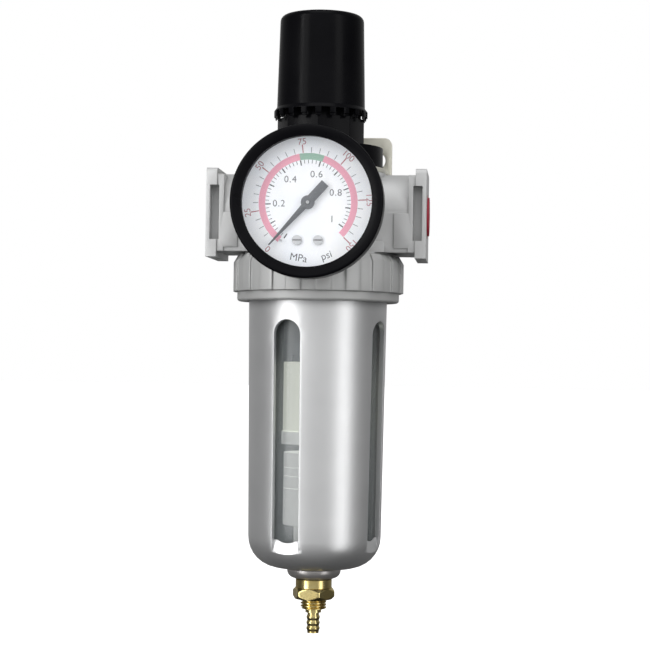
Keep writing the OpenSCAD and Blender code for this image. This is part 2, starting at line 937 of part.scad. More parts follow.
module gauge_pointer() {
    color("#6e7276") at_gauge() rotate(-90 - pointer_rest) translate([0, 0, pointer_z])
        linear_extrude(pointer_t) difference() {
            union() {
                circle(r = pointer_hub_r);
                polygon([
                    [0, -pointer_root_w / 2], [pointer_length, -pointer_tip_w / 2],
                    [pointer_length, pointer_tip_w / 2], [0, pointer_root_w / 2]
                ]);
                translate([-tail_length, -tail_w / 2]) square([tail_length, tail_w]);
            }
            circle(r = shaft_r);
        }
}

module pinion_shaft() {
    color("gainsboro") at_gauge() {
        post(shaft_r, movement_back, shaft_top);
        translate([0, 0, gear_z]) linear_extrude(gear_t) {
            circle(r = pinion_pitch_r - 0.45);
            for (k = [0 : pinion_teeth - 1]) rotate(sector_pivot_angle + 360 * (k + 0.5) / pinion_teeth)
                tooth(pinion_pitch_r, 0.3, 0.55);
        }
    }
}

module gauge_movement() {
    pivot = [gear_distance * cos(sector_pivot_angle), gear_distance * sin(sector_pivot_angle), 0];
    side_pillar = [11, 6, 0];
    color("goldenrod") at_gauge() difference() {
        union() {
            post(movement_r, movement_back, movement_back + movement_t);
            post(movement_r, movement_front, movement_front + movement_t);
            for (side = [-1, 1]) translate([side * dial_screw_x, dial_screw_y, 0])
                post(pillar_r, movement_back + 0.1, movement_front + 0.1);
            translate(side_pillar) post(pillar_r, movement_back + 0.1, movement_front + 0.1);
            translate(pivot) post(pivot_r, movement_back + 0.1, movement_front + 0.1);
        }
        post(shaft_r + shaft_gap, movement_back - 1, movement_front + 1);
        for (side = [-1, 1]) translate([side * dial_screw_x, dial_screw_y, 0])
            post(dial_screw_r + 0.02, dial_screw_end - 0.2, movement_front + 1);
    }
}

module sector_gear() {
    step = 360 / sector_teeth;
    rim_r = sector_pitch_r - 0.5;
    // the toothed arc ends just past the pinion and runs back far enough for the whole travel
    first = sector_pivot_angle + 180 + 1.5 * step;
    last = first - sector_teeth_cut * step;
    color("goldenrod") at_gauge()
        translate([gear_distance * cos(sector_pivot_angle), gear_distance * sin(sector_pivot_angle), gear_z])
            linear_extrude(gear_t) difference() {
                union() {
                    circle(r = sector_hub_r);
                    polygon(concat([[0, 0]], arc(0, 0, rim_r, last, first, 16)));
                    rotate(sector_pivot_angle + 90) translate([0, -link_w / 2]) square([sector_tail, link_w]);
                    for (k = [0 : sector_teeth_cut - 1]) rotate(first - (k + 0.5) * step)
                        tooth(sector_pitch_r, 0.3, 0.6);
                }
                polygon(concat(
                    arc(0, 0, rim_r - 1.6, first - 1.2 * step, last + 1.2 * step, 12),
                    arc(0, 0, sector_hub_r + 2.6, last + 2.4 * step, first - 2.4 * step, 6)
                ));
                circle(r = pivot_r + shaft_gap);
            }
}

module gauge_link() {
    tail = [
        gear_distance * cos(sector_pivot_angle) + (sector_tail - 0.6) * cos(sector_pivot_angle + 90),
        gear_distance * sin(sector_pivot_angle) + (sector_tail - 0.6) * sin(sector_pivot_angle + 90)
    ];
    tip = [tube_mean_r * cos(tube_tip_angle), tube_mean_r * sin(tube_tip_angle)];
    reach = tip - tail;
    color("silver") at_gauge() {
        translate([tail[0], tail[1], link_z]) rotate(atan2(reach[1], reach[0])) linear_extrude(link_t) {
            translate([0, -link_w / 2]) square([norm(reach), link_w]);
            translate([norm(reach), 0]) circle(r = link_w / 2, $fn = 32);
        }
        translate([tip[0], tip[1], 0]) post(link_pin_r, tube_z + tube_h + 0.02, link_z + fine);
    }
}

module bourdon_tube() {
    color("#c9a24b") at_gauge() {
        rotate(tube_tip_angle - tube_turn) translate([0, 0, tube_z]) rotate_extrude(angle = tube_turn)
            translate([tube_mean_r - tube_w / 2, 0]) difference() {
                square([tube_w, tube_h]);
                translate([tube_wall, tube_wall]) square([tube_w - 2 * tube_wall, tube_h - 2 * tube_wall]);
            }
    }
}

module clamp_ring() {
    step = 360 / rib_count;
    color("darkgray") at_axis() difference() {
        union() {
            rotate_extrude() polygon([
                [0, ring_bottom], [ring_lower_r - 0.5, ring_bottom], [ring_lower_r, ring_bottom + 0.5],
                [ring_lower_r, ring_rib_bottom], [ring_core_r, ring_rib_bottom],
                [ring_core_r, ring_shoulder], [ring_core_r - ring_edge, ring_top], [0, ring_top]
            ]);
            intersection() {
                rotate_extrude() polygon([
                    [ring_bore_r + 1, ring_rib_bottom], [ring_r, ring_rib_bottom],
                    [ring_r, ring_shoulder], [ring_r - ring_edge, ring_top],
                    [ring_bore_r + 1, ring_top]
                ]);
                translate([0, 0, ring_bottom]) linear_extrude(ring_top - ring_bottom)
                    for (k = [0 : rib_count - 1]) rotate(step * k + rib_turn) polygon([
                        [0, 0], 2 * ring_r * [cos(-step / 4), sin(-step / 4)],
                        2 * ring_r * [cos(step / 4), sin(step / 4)]
                    ]);
            }
        }
        post(ring_bore_r, ring_lip_z, ring_top + 1);
        post(ring_lip_r, ring_bottom - 1, ring_lip_z + 1);
    }
}

module guard_profile() {
    corner_x = guard_low_r - guard_corner_r;
    inner_r = guard_corner_r - guard_wall;
    rotate_extrude() polygon(concat(
        [[guard_flange_r, guard_flange_top], [guard_flange_r, guard_flange_bottom]],
        [[guard_r, guard_flange_bottom]],
        arc(corner_x, guard_bottom + guard_corner_r, guard_corner_r, 0, -90),
        [[guard_hole_r, guard_bottom], [guard_hole_r, guard_bottom + guard_wall]],
        arc(corner_x, guard_bottom + guard_corner_r, inner_r, -90, 0),
        [[guard_r - guard_wall, guard_flange_bottom], [guard_r - guard_wall, guard_flange_top]]
    ));
}

module guard_window() {
    inner = guard_r - 4;
    outer = guard_r + 2;
    ledge_r = guard_low_r - guard_wall - 0.2;
    translate([inner, 0, 0]) rotate([90, 0, 90]) linear_extrude(outer - inner) {
        translate([0, window_top - window_w / 2]) circle(d = window_w, $fn = 64);
        translate([-window_w / 2, window_bottom])
            square([window_w, window_top - window_w / 2 - window_bottom]);
    }
    translate([0, window_w / 2, 0]) rotate([90, 0, 0]) linear_extrude(window_w) polygon([
        [ledge_r, window_bottom + fine], [outer, window_bottom + fine],
        [outer, window_bottom - ledge_slope * (outer - ledge_r)]
    ]);
}

module guard() {
    color("darkgray") at_axis() difference() {
        guard_profile();
        around(4, -90 - window_turn) guard_window();
    }
}

module bowl() {
    corner_x = bowl_r - bowl_corner_r;
    wall = bowl_r - bowl_inner_r;
    color("#dfe8e4", 0.4) at_axis() rotate_extrude() polygon(concat(
        [[bowl_inner_r, bowl_neck_top], [bowl_neck_r, bowl_neck_top], [bowl_neck_r, bowl_groove_top]],
        [[bowl_groove_r, bowl_groove_top], [bowl_groove_r, bowl_groove_bottom]],
        [[bowl_neck_r, bowl_groove_bottom], [bowl_neck_r, bowl_flange_top]],
        [[bowl_flange_r, bowl_flange_top], [bowl_flange_r, bowl_flange_bottom]],
        [[bowl_r, bowl_flange_bottom]],
        arc(corner_x, bowl_bottom + bowl_corner_r, bowl_corner_r, 0, -90),
        [[bowl_boss_r, bowl_bottom], [bowl_boss_r, bowl_boss_bottom], [bowl_hole_r, bowl_boss_bottom]],
        [[bowl_hole_r, bowl_floor]],
        arc(corner_x, bowl_floor + bowl_corner_r - wall, bowl_corner_r - wall, -90, 0)
    ));
}

module bowl_oring() {
    color("#202224") at_axis()
        oring(bowl_bore_r - bowl_oring_r - 0.02, bowl_oring_r, (bowl_groove_top + bowl_groove_bottom) / 2);
}

module drain_washer() {
    color("dimgray") at_axis() tube(drain_washer_r, bowl_boss_r + 0.05, drain_nut_top, drain_washer_top);
}

module drain_nut() {
    color("silver") at_axis() rotate_extrude() polygon(concat(
        [[bowl_boss_r + 0.04, drain_nut_top], [bowl_boss_r + 0.04, drain_nut_bottom]],
        arc(drain_nut_r - drain_nut_dome, drain_nut_top - 0.5, drain_nut_dome, -78, 0),
        [[drain_nut_r, drain_nut_top]]
    ));
}

module drain_body() {
    corner_r = drain_hex_af / sqrt(3);
    hex_turn = -10.5;
    chamfer = 1.05;
    color("goldenrod") at_axis() difference() {
        union() {
            post(drain_upper_r, drain_head_top - fine, drain_seat_z);
            post(drain_head_r, drain_hex_top - fine, drain_head_top);
            rotate(hex_turn) intersection() {
                hex_post(drain_hex_af, drain_hex_bottom, drain_hex_top);
                rotate_extrude() polygon([
                    [0, drain_hex_bottom], [drain_hex_af / 2 - 0.2, drain_hex_bottom],
                    [corner_r - 0.15, drain_hex_bottom + chamfer], [corner_r - 0.15, drain_hex_top - chamfer],
                    [drain_hex_af / 2 - 0.2, drain_hex_top], [0, drain_hex_top]
                ]);
            }
            post(drain_thread_r, drain_thread_bottom, drain_hex_bottom + fine);
        }
        post(drain_bore_r, drain_thread_bottom - 1, drain_seat_z + 1);
        post(drain_mouth_r, drain_thread_bottom - 1, drain_mouth_top);
    }
}

module drain_stem() {
    color("goldenrod") at_axis() difference() {
        union() {
            post(drain_stem_r, drain_stop_top - fine, drain_seal_top + fine);
            post(drain_cap_r, drain_seal_top, drain_cap_top);
            post(drain_stop_r, drain_stop_top - drain_stop_h, drain_stop_top);
            post(barb_waist_r, drain_tip, drain_stop_top);
            for (k = [0 : barb_count - 1]) translate([0, 0, barb_first - barb_pitch * (k + 0.5)])
                rotate_extrude() polygon([
                    [0, -barb_pitch / 2], [barb_waist_r, -barb_pitch / 2], [barb_r, -0.1],
                    [barb_r, 0.3], [barb_waist_r, barb_pitch / 2], [0, barb_pitch / 2]
                ]);
        }
        post(drain_hole_r, drain_tip - 1, drain_cap_top - 0.6);
    }
}

module drain_seal() {
    color("#202224") at_axis()
        tube(drain_cap_r, drain_stem_r + 0.02, drain_seat_z + 0.02, drain_seal_top - 0.02);
}

module drain_spring() {
    color("slategray") at_axis() coil_spring(
        drain_spring_mean_r, drain_spring_wire_r, drain_cap_top, housing_roof, drain_spring_turns);
}

module drain_housing() {
    groove = 0.35;
    color("#ecece6") at_axis() difference() {
        union() {
            post(housing_r, housing_drum_z, housing_top);
            post(housing_neck_r, bowl_floor + 0.05, housing_drum_z + fine);
        }
        post(housing_bore_r, bowl_floor - 1, housing_roof);
        for (drop = [4.3, 7, 10.7])
            tube(housing_r + 1, housing_r - groove, housing_top - drop - groove, housing_top - drop);
        for (a = [0, 90]) rotate(a) translate([0, 0, bowl_floor + 4])
            bar_x(housing_window_r, -housing_neck_r - 1, housing_neck_r + 1);
    }
}

module dust_plug() {
    face = half_span;
    grip_w = 2.2;
    grip_length = 7;
    color("#a01522") at_axis() difference() {
        union() {
            bar_x(plug_r, face - plug_depth, face);
            bar_x(plug_button_r, face - fine, face + plug_button_h);
        }
        bar_x(plug_r - plug_wall, face - plug_depth - 1, face - plug_depth + 0.4);
        translate([face + plug_button_h, 0, 0]) cube([1, grip_length, grip_w], center = true);
    }
}

body();
bracket();
bonnet();
bonnet_screws();
knob();
adjusting_screw();
screw_clip();
thrust_washer();
spring_nut();
regulating_spring();
pressure_plate();
diaphragm();
diaphragm_stud();
valve_stem();
valve_seal();
valve_spring();
valve_guide();
guide_oring();
deflector();
filter_element();
filter_baffle();
rear_port_plug();
rear_port_seal();
gauge_socket();
gauge_seal();
gauge_case();
gauge_bezel();
gauge_lens();
gauge_dial();
dial_screws();
gauge_pointer();
pinion_shaft();
gauge_movement();
sector_gear();
gauge_link();
bourdon_tube();
clamp_ring();
guard();
bowl();
bowl_oring();
drain_washer();
drain_nut();
drain_body();
drain_stem();
drain_seal();
drain_spring();
drain_housing();
dust_plug();
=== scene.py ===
"""The looks of an air filter-regulator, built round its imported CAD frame.

Metres, +Z up, the gauge faces -Y.
"""
import json
import math

import bmesh
import bpy
from mathutils import Matrix, Vector


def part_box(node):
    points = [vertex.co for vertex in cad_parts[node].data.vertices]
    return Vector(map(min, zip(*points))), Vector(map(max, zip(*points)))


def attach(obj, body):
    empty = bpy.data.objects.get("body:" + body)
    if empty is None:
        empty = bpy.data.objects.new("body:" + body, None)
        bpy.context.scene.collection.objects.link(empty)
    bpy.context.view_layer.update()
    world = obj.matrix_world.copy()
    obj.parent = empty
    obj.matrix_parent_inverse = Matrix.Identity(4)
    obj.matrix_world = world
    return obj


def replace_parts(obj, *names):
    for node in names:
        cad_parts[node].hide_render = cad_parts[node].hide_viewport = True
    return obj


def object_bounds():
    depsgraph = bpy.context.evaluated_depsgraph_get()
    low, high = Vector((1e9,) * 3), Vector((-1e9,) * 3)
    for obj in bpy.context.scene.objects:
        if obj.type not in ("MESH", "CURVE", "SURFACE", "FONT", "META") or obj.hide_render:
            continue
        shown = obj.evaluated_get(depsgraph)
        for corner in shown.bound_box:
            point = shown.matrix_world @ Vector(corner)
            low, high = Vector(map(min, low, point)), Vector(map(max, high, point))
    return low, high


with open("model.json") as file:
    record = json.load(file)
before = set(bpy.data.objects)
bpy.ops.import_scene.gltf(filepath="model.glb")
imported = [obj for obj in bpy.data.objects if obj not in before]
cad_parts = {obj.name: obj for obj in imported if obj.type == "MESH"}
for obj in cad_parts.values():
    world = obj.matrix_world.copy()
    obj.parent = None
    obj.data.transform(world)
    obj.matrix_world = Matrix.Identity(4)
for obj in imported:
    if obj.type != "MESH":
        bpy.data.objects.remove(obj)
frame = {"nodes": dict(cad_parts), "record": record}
cad_low, cad_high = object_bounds()
MM = 0.001


def box_centre(node):
    low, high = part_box(node)
    return (Vector(low) + Vector(high)) / 2


AXIS_X = box_centre("knob").x
DIAL_CENTRE = box_centre("gauge_bezel")
DIAL_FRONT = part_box("gauge_dial")[0][1]


# ---------------------------------------------------------------- materials

# Reach of the painted shade in narrow recesses.
PAINTED_SHADE_REACH = 3 * MM


def node_of(tree, kind, **values):
    node = tree.nodes.new(kind)
    for key, value in values.items():
        setattr(node, key, value)
    return node


def material(name, color, metallic=0.0, roughness=0.5, **sockets):
    """A principled material; returns it with its node tree and shader."""
    mat = bpy.data.materials.new(name)
    mat.use_nodes = True
    tree = mat.node_tree
    shader = tree.nodes["Principled BSDF"]
    shader.inputs["Base Color"].default_value = (*color, 1)
    shader.inputs["Metallic"].default_value = metallic
    shader.inputs["Roughness"].default_value = roughness
    for key, value in sockets.items():
        shader.inputs[key.replace("_", " ")].default_value = value
    return mat, tree, shader


def object_coords(tree, stretch=(1, 1, 1)):
    coords = node_of(tree, "ShaderNodeTexCoord")
    mapping = node_of(tree, "ShaderNodeMapping")
    mapping.inputs["Scale"].default_value = stretch
    tree.links.new(coords.outputs["Object"], mapping.inputs["Vector"])
    return mapping.outputs["Vector"]


def noise(tree, vector, scale, detail=3.0, rough=0.55):
    node = node_of(tree, "ShaderNodeTexNoise")
    node.inputs["Scale"].default_value = scale
    node.inputs["Detail"].default_value = detail
    node.inputs["Roughness"].default_value = rough
    tree.links.new(vector, node.inputs["Vector"])
    return node.outputs["Fac"]


def remap(tree, value, low, high, from_low=0.3, from_high=0.7):
    node = node_of(tree, "ShaderNodeMapRange")
    node.inputs["From Min"].default_value = from_low
    node.inputs["From Max"].default_value = from_high
    node.inputs["To Min"].default_value = low
    node.inputs["To Max"].default_value = high
    tree.links.new(value, node.inputs["Value"])
    return node.outputs["Result"]


def tint(tree, shader, value, low_color, high_color, from_low=0.3, from_high=0.7):
    """Base colour that drifts between two tints."""
    mix = node_of(tree, "ShaderNodeMix", data_type="RGBA")
    mix.inputs[6].default_value = (*low_color, 1)
    mix.inputs[7].default_value = (*high_color, 1)
    tree.links.new(remap(tree, value, 0, 1, from_low, from_high), mix.inputs[0])
    tree.links.new(mix.outputs[2], shader.inputs["Base Color"])
    return mix


def bump(tree, shader, height, strength, distance, edge_radius=0.0):
    """Surface relief over edges that are rounded by edge_radius."""
    node = node_of(tree, "ShaderNodeBump")
    node.inputs["Strength"].default_value = strength
    node.inputs["Distance"].default_value = distance
    tree.links.new(height, node.inputs["Height"])
    if edge_radius:
        edge = node_of(tree, "ShaderNodeBevel", samples=6)
        edge.inputs["Radius"].default_value = edge_radius
        tree.links.new(edge.outputs["Normal"], node.inputs["Normal"])
    tree.links.new(node.outputs["Normal"], shader.inputs["Normal"])


def shade_hollows(tree, shader, mix, reach, darkest):
    """Paints shade into the base colour in narrow recesses, darkest where ambient occlusion finds surfaces
    close by.
    """
    cavity = node_of(tree, "ShaderNodeAmbientOcclusion", samples=8)
    cavity.inputs["Distance"].default_value = reach
    level = remap(tree, cavity.outputs["AO"], darkest, 1.0, 0.35, 0.95)
    shade = node_of(tree, "ShaderNodeMix", data_type="RGBA", blend_type="MULTIPLY")
    shade.inputs[0].default_value = 1
    tree.links.new(mix.outputs[2], shade.inputs[6])
    tree.links.new(level, shade.inputs[7])
    tree.links.new(shade.outputs[2], shader.inputs["Base Color"])


def metal_paint(name, dark, light, metallic, roughness, grain, relief, edge=0.0, darkest_painted_shade=1.0):
    """Silver paint or a cast surface: fine flake, a slow drift in tone and a faint orange peel."""
    mat, tree, shader = material(name, light, metallic, roughness)
    coords = object_coords(tree)
    flake = noise(tree, coords, grain, 2.0)
    drift = noise(tree, coords, 45, 3.0)
    mix = tint(tree, shader, drift, dark, light)
    # Painted shade: darkens the base colour in recesses down to the given level.
    if darkest_painted_shade < 1:
        shade_hollows(tree, shader, mix, PAINTED_SHADE_REACH, darkest_painted_shade)
    rough = remap(tree, flake, roughness - 0.05, roughness + 0.06)
    tree.links.new(rough, shader.inputs["Roughness"])
    bump(tree, shader, flake, relief, 0.00004, edge)
    return mat


def moulded_plastic(name, color, roughness, relief=0.25, edge=0.0, grain=2600, specular=0.5, painted_glow=0.0):
    """Plastic or enamel; the last argument is emission, a painted glow that adds light to the surface beyond
    what the lamps give.
    """
    mat, tree, shader = material(name, color, 0, roughness, Specular_IOR_Level=specular,
                                 Emission_Color=(*color, 1), Emission_Strength=painted_glow)
    coords = object_coords(tree)
    skin = noise(tree, coords, grain, 2.0)
    wear = noise(tree, coords, 90, 4.0)
    light = tuple(min(1, c * 1.12 + 0.0015) for c in color)
    tint(tree, shader, wear, color, light)
    tree.links.new(remap(tree, wear, roughness - 0.05, roughness + 0.07), shader.inputs["Roughness"])
    bump(tree, shader, skin, relief, 0.00003, edge)
    return mat


def turned_metal(name, dark, light, roughness, relief=0.35, edge=0.0):
    """Metal with fine lathe marks round an upright axis."""
    mat, tree, shader = material(name, light, 1.0, roughness)
    marks = noise(tree, object_coords(tree, (1, 1, 60)), 220, 3.0)
    tarnish = noise(tree, object_coords(tree), 160, 4.0)
    tint(tree, shader, tarnish, dark, light)
    tree.links.new(remap(tree, tarnish, roughness + 0.1, roughness - 0.04), shader.inputs["Roughness"])
    bump(tree, shader, marks, relief, 0.00003, edge)
    return mat


def clear_plastic(name, color, alpha, roughness, specular=0.5):
    mat, tree, shader = material(name, color, 0, roughness, Alpha=alpha, Specular_IOR_Level=specular)
    haze = noise(tree, object_coords(tree, (1, 1, 0.3)), 120, 2.0)
    tree.links.new(remap(tree, haze, roughness, roughness + 0.04), shader.inputs["Roughness"])
    mat.surface_render_method = "BLENDED"
    return mat


MATERIALS = {
    # For each metal_paint finish below, the last number is the darkest level of painted shade in its
    # recesses; the plated nut has none.
    "casting": metal_paint("cast_silver", (0.69, 0.695, 0.695), (0.75, 0.755, 0.755),
                           0.3, 0.50, 2600, 0.16, 0.00012, 0.62),
    "guard_metal": metal_paint("guard_silver", (0.70, 0.705, 0.71), (0.77, 0.775, 0.78),
                               0.75, 0.40, 3200, 0.12, 0.0002, 0.55),
    "ring_metal": metal_paint("ring_silver", (0.56, 0.565, 0.56), (0.64, 0.645, 0.64),
                              0.3, 0.52, 2400, 0.18, 0.0003, 0.5),
    "plated_steel": metal_paint("zinc_plate", (0.70, 0.68, 0.58), (0.82, 0.81, 0.72),
                                0.6, 0.36, 1800, 0.15, 0.0002, 0.5),
    "black_plastic": moulded_plastic("black_nylon", (0.0036, 0.0036, 0.0046), 0.22, 0.1, 0.0002, 2600, 0.045),
    "steel": turned_metal("bright_steel", (0.48, 0.49, 0.50), (0.62, 0.63, 0.64), 0.24),
    "spring_steel": turned_metal("spring_wire", (0.30, 0.31, 0.33), (0.42, 0.43, 0.45), 0.3),
    "brass": turned_metal("turned_brass", (0.56, 0.43, 0.16), (0.76, 0.64, 0.30), 0.2),
    "dark_rubber": moulded_plastic("nitrile", (0.018, 0.019, 0.020), 0.6, 0.4),
    "seal_fibre": moulded_plastic("pale_seal", (0.62, 0.59, 0.52), 0.6, 0.4),
    "acetal": moulded_plastic("tan_acetal", (0.45, 0.36, 0.24), 0.4),
    "grey_plastic": moulded_plastic("grey_nylon", (0.34, 0.36, 0.38), 0.42, 0.3, 0.0002),
    # The white acetal and the sintered media carry a painted glow, emission that brightens them behind the
    # clear bowl.
    "white_plastic": moulded_plastic("white_acetal", (0.78, 0.79, 0.77), 0.4, 0.2, 0.0002, painted_glow=0.3),
    "filter_media": moulded_plastic("sintered_media", (0.82, 0.84, 0.74), 0.75, 0.9, 0.0, 5200, painted_glow=0.42),
    "bowl_clear": clear_plastic("clear_bowl", (0.62, 0.68, 0.70), 0.12, 0.12, 1.4),
    "nut_metal": metal_paint("plated_nut", (0.46, 0.44, 0.43), (0.60, 0.58, 0.57),
                             0.6, 0.34, 2600, 0.3, 0.0002),
    "gauge_black": moulded_plastic("gauge_enamel", (0.0038, 0.0038, 0.005), 0.3, 0.15, 0.0003, 3000, 0.07),
    # The dial enamel carries a painted glow, emission that brightens it beyond the lamps.
    "dial_white": moulded_plastic("dial_enamel", (0.90, 0.93, 0.98), 0.45, 0.05, painted_glow=0.22),
    "pointer_grey": moulded_plastic("pointer_grey", (0.14, 0.147, 0.158), 0.4, 0.1),
    "lens_clear": clear_plastic("clear_lens", (0.9, 0.95, 1.0), 0.05, 0.02),
    "plug_red": moulded_plastic("red_plug", (0.42, 0.02, 0.045), 0.45, 0.3),
}
# Painted shade darkens the slots of the screw heads to 0.15 of their colour.
DIAL_SCREW = metal_paint("screw_head", (0.80, 0.81, 0.83), (0.88, 0.89, 0.91),
                         0.0, 0.4, 2600, 0.1, 0.0001, 0.15)
BLACK_PRINT = moulded_plastic("dial_ink_black", (0.045, 0.045, 0.055), 0.5, 0.05)
GREY_PRINT = moulded_plastic("dial_ink_grey", (0.13, 0.13, 0.14), 0.5, 0.05)
RED_PRINT = moulded_plastic("dial_ink_red", (0.52, 0.14, 0.17), 0.5, 0.05)
PALE_RED_PRINT = moulded_plastic("dial_ink_pale_red", (0.62, 0.28, 0.31), 0.5, 0.05)
# The pink and green bands carry a weaker painted glow as well.
PINK_PRINT = moulded_plastic("dial_ink_pink", (0.86, 0.38, 0.49), 0.5, 0.05, painted_glow=0.15)
GREEN_PRINT = moulded_plastic("dial_ink_green", (0.32, 0.52, 0.41), 0.5, 0.05, painted_glow=0.1)


# ---------------------------------------------------------------- mesh helpers

def smooth(mesh, angle=30):
    for face in mesh.polygons:
        face.use_smooth = True
    mesh.set_sharp_from_angle(angle=math.radians(angle))


def piece(name, bm, mat, body, angle=30):
    """Turns a bmesh into a finished piece that rides on a CAD body."""
    bmesh.ops.recalc_face_normals(bm, faces=bm.faces)
    mesh = bpy.data.meshes.new(name)
    bm.to_mesh(mesh)
    bm.free()
    smooth(mesh, angle)
    mesh.materials.append(mat)
    obj = bpy.data.objects.new(name, mesh)
    bpy.context.scene.collection.objects.link(obj)
    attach(obj, body)
    return obj


def polar_rows(bm, rows, segments, closed=True):
    """Skins rows of (z, radius function) round the main axis, from the first to the last."""
    rings = []
    for z, radius in rows:
        ring = []
        for k in range(segments):
            a = 2 * math.pi * k / segments
            r = radius(a) if callable(radius) else radius
            ring.append(bm.verts.new((AXIS_X + r * math.cos(a), r * math.sin(a), z)))
        rings.append(ring)
    pairs = list(zip(rings, rings[1:]))
    if closed:
        pairs.append((rings[-1], rings[0]))
    for low, high in pairs:
        for k in range(segments):
            n = (k + 1) % segments
            bm.faces.new((low[k], low[n], high[n], high[k]))


# ---------------------------------------------------------------- CAD nodes: materials and soft edges

SOFT_EDGES = {
    "body": 0.15, "bracket": 0.25, "bonnet": 0.25, "knob": 0.2, "clamp_ring": 0.25, "guard": 0.3,
    "gauge_case": 0.2, "gauge_bezel": 0.15, "drain_nut": 0.1, "rear_port_plug": 0.15, "dust_plug": 0.12,
    "gauge_socket": 0.12, "bonnet_screws": 0.08, "dial_screws": 0.06, "gauge_pointer": 0.04,
}


def soften(obj, width):
    """Welds the CAD mesh's split corners and rounds its sharp edges by a few tenths of a millimetre."""
    weld = obj.modifiers.new("weld", "WELD")
    weld.merge_threshold = 0.002 * MM
    bevel = obj.modifiers.new("soft_edges", "BEVEL")
    bevel.width = width * MM
    bevel.segments = 3
    bevel.limit_method = "ANGLE"
    bevel.angle_limit = math.radians(35)
    bevel.use_clamp_overlap = True
    bevel.miter_outer = "MITER_ARC"


def finish_node(name, obj, slot):
    obj.data.materials.clear()
    obj.data.materials.append(DIAL_SCREW if name == "dial_screws" else MATERIALS[slot])
    smooth(obj.data, 28)
    if name in SOFT_EDGES:
        soften(obj, SOFT_EDGES[name])


for part in frame["record"]["subparts"]:
    finish_node(part["node"], frame["nodes"][part["node"]], part["material_slot"])


# ---------------------------------------------------------------- the dial's print

SCALE_START = 33.4
DEGREES_PER_MPA = 271
MPA_PER_PSI = 0.00689476
GREEN_FROM = 169
GREEN_TO = 198.7
BAND_IN = 12.5
BAND_OUT = 14.4
INK = 0.015 * MM


def mpa_angle(value):
    return SCALE_START + DEGREES_PER_MPA * value


def psi_angle(value):
    return mpa_angle(value * MPA_PER_PSI)


def on_dial(angle, radius, lift=1.0):
    """A point on the dial; the angle runs clockwise from straight down, the radius is in millimetres."""
    a = math.radians(angle)
    return Vector((
        DIAL_CENTRE.x - radius * MM * math.sin(a),
        DIAL_FRONT - lift * INK,
        DIAL_CENTRE.z - radius * MM * math.cos(a),
    ))


def dial_patch(bm, corners):
    """A thin printed patch from its outline on the dial."""
    front = [bm.verts.new(c) for c in corners]
    back = [bm.verts.new(c + Vector((0, INK, 0))) for c in corners]
    bm.faces.new(front)
    bm.faces.new(back[::-1])
    for k in range(len(front)):
        n = (k + 1) % len(front)
        bm.faces.new((front[k], back[k], back[n], front[n]))


def dial_tick(bm, angle, inner, outer, width):
    half = math.degrees(width / 2 / ((inner + outer) / 2))
    dial_patch(bm, [
        on_dial(angle - half, inner), on_dial(angle - half, outer),
        on_dial(angle + half, outer), on_dial(angle + half, inner),
    ])


def dial_band(bm, start, end, step=3.0):
    count = max(2, round((end - start) / step))
    for k in range(count):
        a, b = start + (end - start) * k / count, start + (end - start) * (k + 1) / count
        dial_patch(bm, [
            on_dial(a, BAND_IN), on_dial(a, BAND_OUT), on_dial(b, BAND_OUT), on_dial(b, BAND_IN),
        ])


def dial_text(bm, words, angle, radius, size, turn=0.0, spacing=1.0):
    """Lettering centred at a point of the dial, turned by degrees counter-clockwise."""
    curve = bpy.data.curves.new("print", "FONT")
    curve.body = words
    curve.size = size * MM
    curve.space_character = spacing
    curve.align_x = "CENTER"
    curve.align_y = "CENTER"
    curve.extrude = INK / 2
    letter = bpy.data.objects.new("print", curve)
    mesh = bpy.data.meshes.new_from_object(letter)
    facing = Matrix.Rotation(math.radians(90), 4, "X") @ Matrix.Rotation(math.radians(turn), 4, "Z")
    mesh.transform(Matrix.Translation(on_dial(angle, radius, 0.5)) @ facing)
    bm.from_mesh(mesh)
    bpy.data.meshes.remove(mesh)
    bpy.data.objects.remove(letter)
    bpy.data.curves.remove(curve)


def build_dial_print():
    black, grey, red, pale_red, pink, green = (bmesh.new() for _ in range(6))
    for k in range(51):
        major = k % 5 == 0
        dial_tick(black, mpa_angle(k * 0.02), 10.9 if major else 11.4, BAND_IN - 0.05,
                  0.34 if major else 0.17)
    for k in range(1, 31):
        major = k % 5 == 0
        dial_tick(red if major else grey, psi_angle(k * 5), BAND_OUT + 0.1, 16.9 if major else 16.1,
                  0.3 if major else 0.15)
    dial_band(pink, psi_angle(2), GREEN_FROM)
    dial_band(pink, GREEN_TO, psi_angle(150))
    dial_band(green, GREEN_FROM, GREEN_TO)
    for value, words in ((0.2, "0.2"), (0.4, "0.4"), (0.6, "0.6"), (0.8, "0.8"), (1.0, "1")):
        dial_text(grey, words, mpa_angle(value), 8.5, 2.75, spacing=1.12)
    for value in range(0, 175, 25):
        angle = psi_angle(value) + (7 if value == 0 else 0)
        dial_text(pale_red, str(value), angle, 17.75, 2.6, turn=180 - angle)
    dial_text(grey, "MPa", 9, 16.3, 3.0, turn=-9)
    dial_text(grey, "psi", -20, 16.3, 3.0, turn=20)
    piece("dial_print_black", black, BLACK_PRINT, "housing")
    piece("dial_print_grey", grey, GREY_PRINT, "housing")
    piece("dial_print_red", red, RED_PRINT, "housing")
    piece("dial_print_pale_red", pale_red, PALE_RED_PRINT, "housing")
    piece("dial_print_pink", pink, PINK_PRINT, "housing")
    piece("dial_print_green", green, GREEN_PRINT, "housing")


def build_stop_pin():
    """The small pin that the pointer rests on."""
    length = 1.6 * MM
    pin = bmesh.new()
    bmesh.ops.create_cone(pin, cap_ends=True, segments=32, radius1=0.35 * MM, radius2=0.3 * MM,
                          depth=length)
    place = Matrix.Translation(on_dial(35, 13.5) + Vector((0, -length / 2, 0)))
    pin.transform(place @ Matrix.Rotation(math.radians(90), 4, "X"))
    piece("stop_pin", pin, MATERIALS["steel"], "housing")


build_dial_print()
build_stop_pin()


